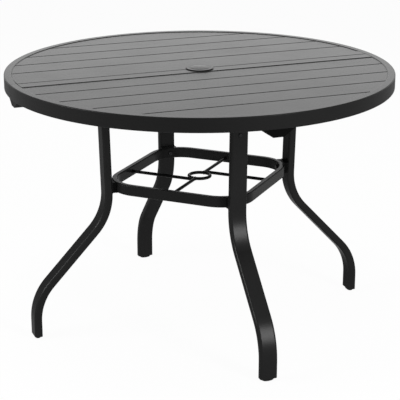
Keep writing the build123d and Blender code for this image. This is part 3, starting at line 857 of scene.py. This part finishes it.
# %% Joints of the rods
ROD_TURN = -45
ROD_GAP = 0.0002
LOOP_RADIUS = 0.0297
RING_INNER_REACH = 0.192
joints = []
for turn in (ARMS["front"] + ROD_TURN, ARMS["back"] + ROD_TURN):
    joints += [round_rod(turn, RING_INNER_REACH, 0), round_rod(turn, LOOP_RADIUS, 0, follow=1)]
for turn in (ARMS["left"] + ROD_TURN, ARMS["right"] + ROD_TURN):
    touch, start = LOOP_RADIUS + ROD_RADIUS + ROD_GAP / 2, ROD_RADIUS + ROD_GAP
    joints.append(round_rod(turn, RING_INNER_REACH, LOOP_RADIUS + 2 * ROD_RADIUS + ROD_GAP))
    for height in (ring_middle - ROD_RADIUS / 2, ring_middle + ROD_RADIUS / 2):
        joints.append([on_arm(turn, start, touch, height), on_arm(turn, 2 * start, touch, height)])
print(len(joints), "joints of the rods")

# %% Joints of the saddles, the pads, the beams and the seam bars
CORNER_RADIUS = 0.0941
SADDLE_HALF_ANGLE = math.radians(13.2)
SADDLE_PATH_POINTS = 17
PAD_REACH, PAD_HALF_WIDTH = 0.2637, 0.0215
BEAM_REACH, BEAM_HALF_WIDTH = 0.5262, 0.045
RIM_INNER_RADIUS, RIM_BOTTOM = 0.5124, 0.687
SEAM_BAR_DEGREES, SEAM_BAR_PATH_POINTS = (0.3, 4.7), 9
corner_middle = ring_corners[:, 0].max() - CORNER_RADIUS
saddle_angles = np.linspace(-SADDLE_HALF_ANGLE, SADDLE_HALF_ANGLE, SADDLE_PATH_POINTS)
seam_bar_angles = np.radians(np.linspace(*SEAM_BAR_DEGREES, SEAM_BAR_PATH_POINTS))


def arc(turn, middle, radius, angles, height):
    return [on_arm(turn, middle + radius * math.cos(a), radius * math.sin(a), height) for a in angles]


for name, turn in ARMS.items():
    for height in (ring_bottom, ring_top):
        joints.append(arc(turn, corner_middle, CORNER_RADIUS, saddle_angles, height))
    for side in (-1, 1):
        edge = side * PAD_HALF_WIDTH
        joints.append([on_arm(turn, PAD_REACH, edge, ring_bottom), on_arm(turn, PAD_REACH, edge, ring_top)])
        if name in ("left", "right"):
            joints.append(arc(turn, 0, RIM_INNER_RADIUS, side * seam_bar_angles, RIM_BOTTOM))
    if name in ("front", "back"):
        joints.append([on_arm(turn, BEAM_REACH, side * BEAM_HALF_WIDTH, RIM_BOTTOM) for side in (-1, 1)])
print(len(joints), "joints in all")

# %% Weld them
weld_sizes = {"Bead Radius": 0.0013, "Step": 0.0014, "Uneven": 0.2, "Seed": 4}
welds = grow("weld_beads", weld_tree(), weld_sizes, joint_mesh("weld_beads", joints))
fit(welds, "dark_coat")

# %% [markdown]
# ## Studio
# The floor and the room behind it are white, so the table stands free. What the camera and the
# reflections see of them is a plain white of strength 1, and the light on the table comes from
# soft lamps. The floor mixes that white with a real diffuse one, which keeps the table's shadow.
# A large lamp behind the table is what a low look at the top sees mirrored in it, so it lifts the
# grey of the top alone. The front lamp stands where the bends of the front leg mirror it.

# %% Floor
FLOOR_HALF_SIDE = 12.0
FLOOR_WHITE = 0.9
FLOOR_ROUGHNESS = 0.9
FLOOR_SHADOW_SHARE = 0.04


def sees_background(tree):
    """1 for rays from the camera, or by a reflection or through glass, and 0 for other rays."""
    path = tree.nodes.new("ShaderNodeLightPath")
    bounced = calc(tree, "MAXIMUM", path.outputs["Is Glossy Ray"], path.outputs["Is Transmission Ray"])
    return calc(tree, "MAXIMUM", path.outputs["Is Camera Ray"], bounced)


floor_mesh = bpy.data.meshes.new("pale_floor")
floor_corners = [(-1, -1), (1, -1), (1, 1), (-1, 1)]
floor_mesh.from_pydata(
    [(x * FLOOR_HALF_SIDE, y * FLOOR_HALF_SIDE, cad_low.z) for x, y in floor_corners], [], [(0, 1, 2, 3)]
)
floor = bpy.data.objects.new("pale_floor", floor_mesh)
bpy.context.collection.objects.link(floor)
floor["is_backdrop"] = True
print("floor at", round(cad_low.z, 4), "m")

# %% Finish of the floor
floor_finish, floor_tree, floor_shader, _ = new_finish("pale_floor")
floor_shader.inputs["Base Color"].default_value = (FLOOR_WHITE, FLOOR_WHITE, FLOOR_WHITE, 1)
floor_shader.inputs["Roughness"].default_value = FLOOR_ROUGHNESS
floor_shader.inputs["Specular IOR Level"].default_value = 0.0
floor_white = add_node(floor_tree, "ShaderNodeEmission", {"Strength": 1.0})
white_share = map_range(floor_tree, sees_background(floor_tree), 0, 1, 0, 1 - FLOOR_SHADOW_SHARE)
floor_mix = add_node(floor_tree, "ShaderNodeMixShader", {
    0: white_share, 1: floor_shader.outputs["BSDF"], 2: floor_white.outputs["Emission"]})
floor_tree.links.new(floor_mix.outputs["Shader"], floor_tree.nodes["Material Output"].inputs["Surface"])
floor_mesh.materials.append(floor_finish)
print("floor white", 1 - FLOOR_SHADOW_SHARE)

# %% Room
ROOM_LIGHT = 0.2

world = bpy.data.worlds.new("white_room")
bpy.context.scene.world = world
world.use_nodes = True
room = world.node_tree.nodes["Background"]
room.inputs["Color"].default_value = (1, 1, 1, 1)
room_level = map_range(world.node_tree, sees_background(world.node_tree), 0, 1, ROOM_LIGHT, 1)
world.node_tree.links.new(room_level, room.inputs["Strength"])
bpy.context.scene.view_settings.view_transform = "Standard"
print("room light", ROOM_LIGHT)

# %% Lamps
table_middle = Vector((0, 0, (cad_low.z + cad_high.z) / 2))
# Turns are in degrees from the camera to its left. A distance below 0 is behind the table.
lamps = {
    "front_lamp": {"distance": 3.8, "turn": -43, "height": 1.75, "size": (0.8, 1.6), "watts": 98},
    "left_lamp": {"distance": 3.6, "turn": 70, "height": 2.0, "size": (2.0, 0.8), "watts": 100},
    "high_lamp": {"distance": 0.0, "turn": 0, "height": 4.5, "size": (2.0, 2.0), "watts": 60},
    "back_lamp": {"distance": -3.2, "turn": 0, "height": 1.75, "size": (2.2, 2.2), "watts": 8.4},
}


def soft_lamp(name, place, size, watts):
    """An area lamp that faces the middle of the table."""
    light = bpy.data.lights.new(name, "AREA")
    light.shape = "RECTANGLE"
    light.size, light.size_y = size
    light.energy = watts
    lamp = bpy.data.objects.new(name, light)
    lamp.location = place
    lamp.rotation_euler = (table_middle - lamp.location).to_track_quat("-Z", "Y").to_euler()
    bpy.context.collection.objects.link(lamp)


for name, lamp in lamps.items():
    place = round_table(lamp["distance"], CAMERA_TURN + math.radians(lamp["turn"]), lamp["height"])
    soft_lamp(name, place, lamp["size"], lamp["watts"])
    print(name, lamp["watts"], "W")

# %% [markdown]
# ## Finish
# A finish must not change the size of the table. So the box of the solids, kept from the start, and
# the box of the dressed table are kept side by side, and the size of the dressed table is printed. So the
# box of the solids, kept from the start, and
# the box of the dressed table are written side by side, and the frame's own checks end the lesson.

# %% The boxes side by side
visual_low, visual_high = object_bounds()
sizes = {"cad": [list(cad_low), list(cad_high)], "visual": [list(visual_low), list(visual_high)]}
print("dressed", [round(high - low, 4) for low, high in zip(visual_low, visual_high)], "m")
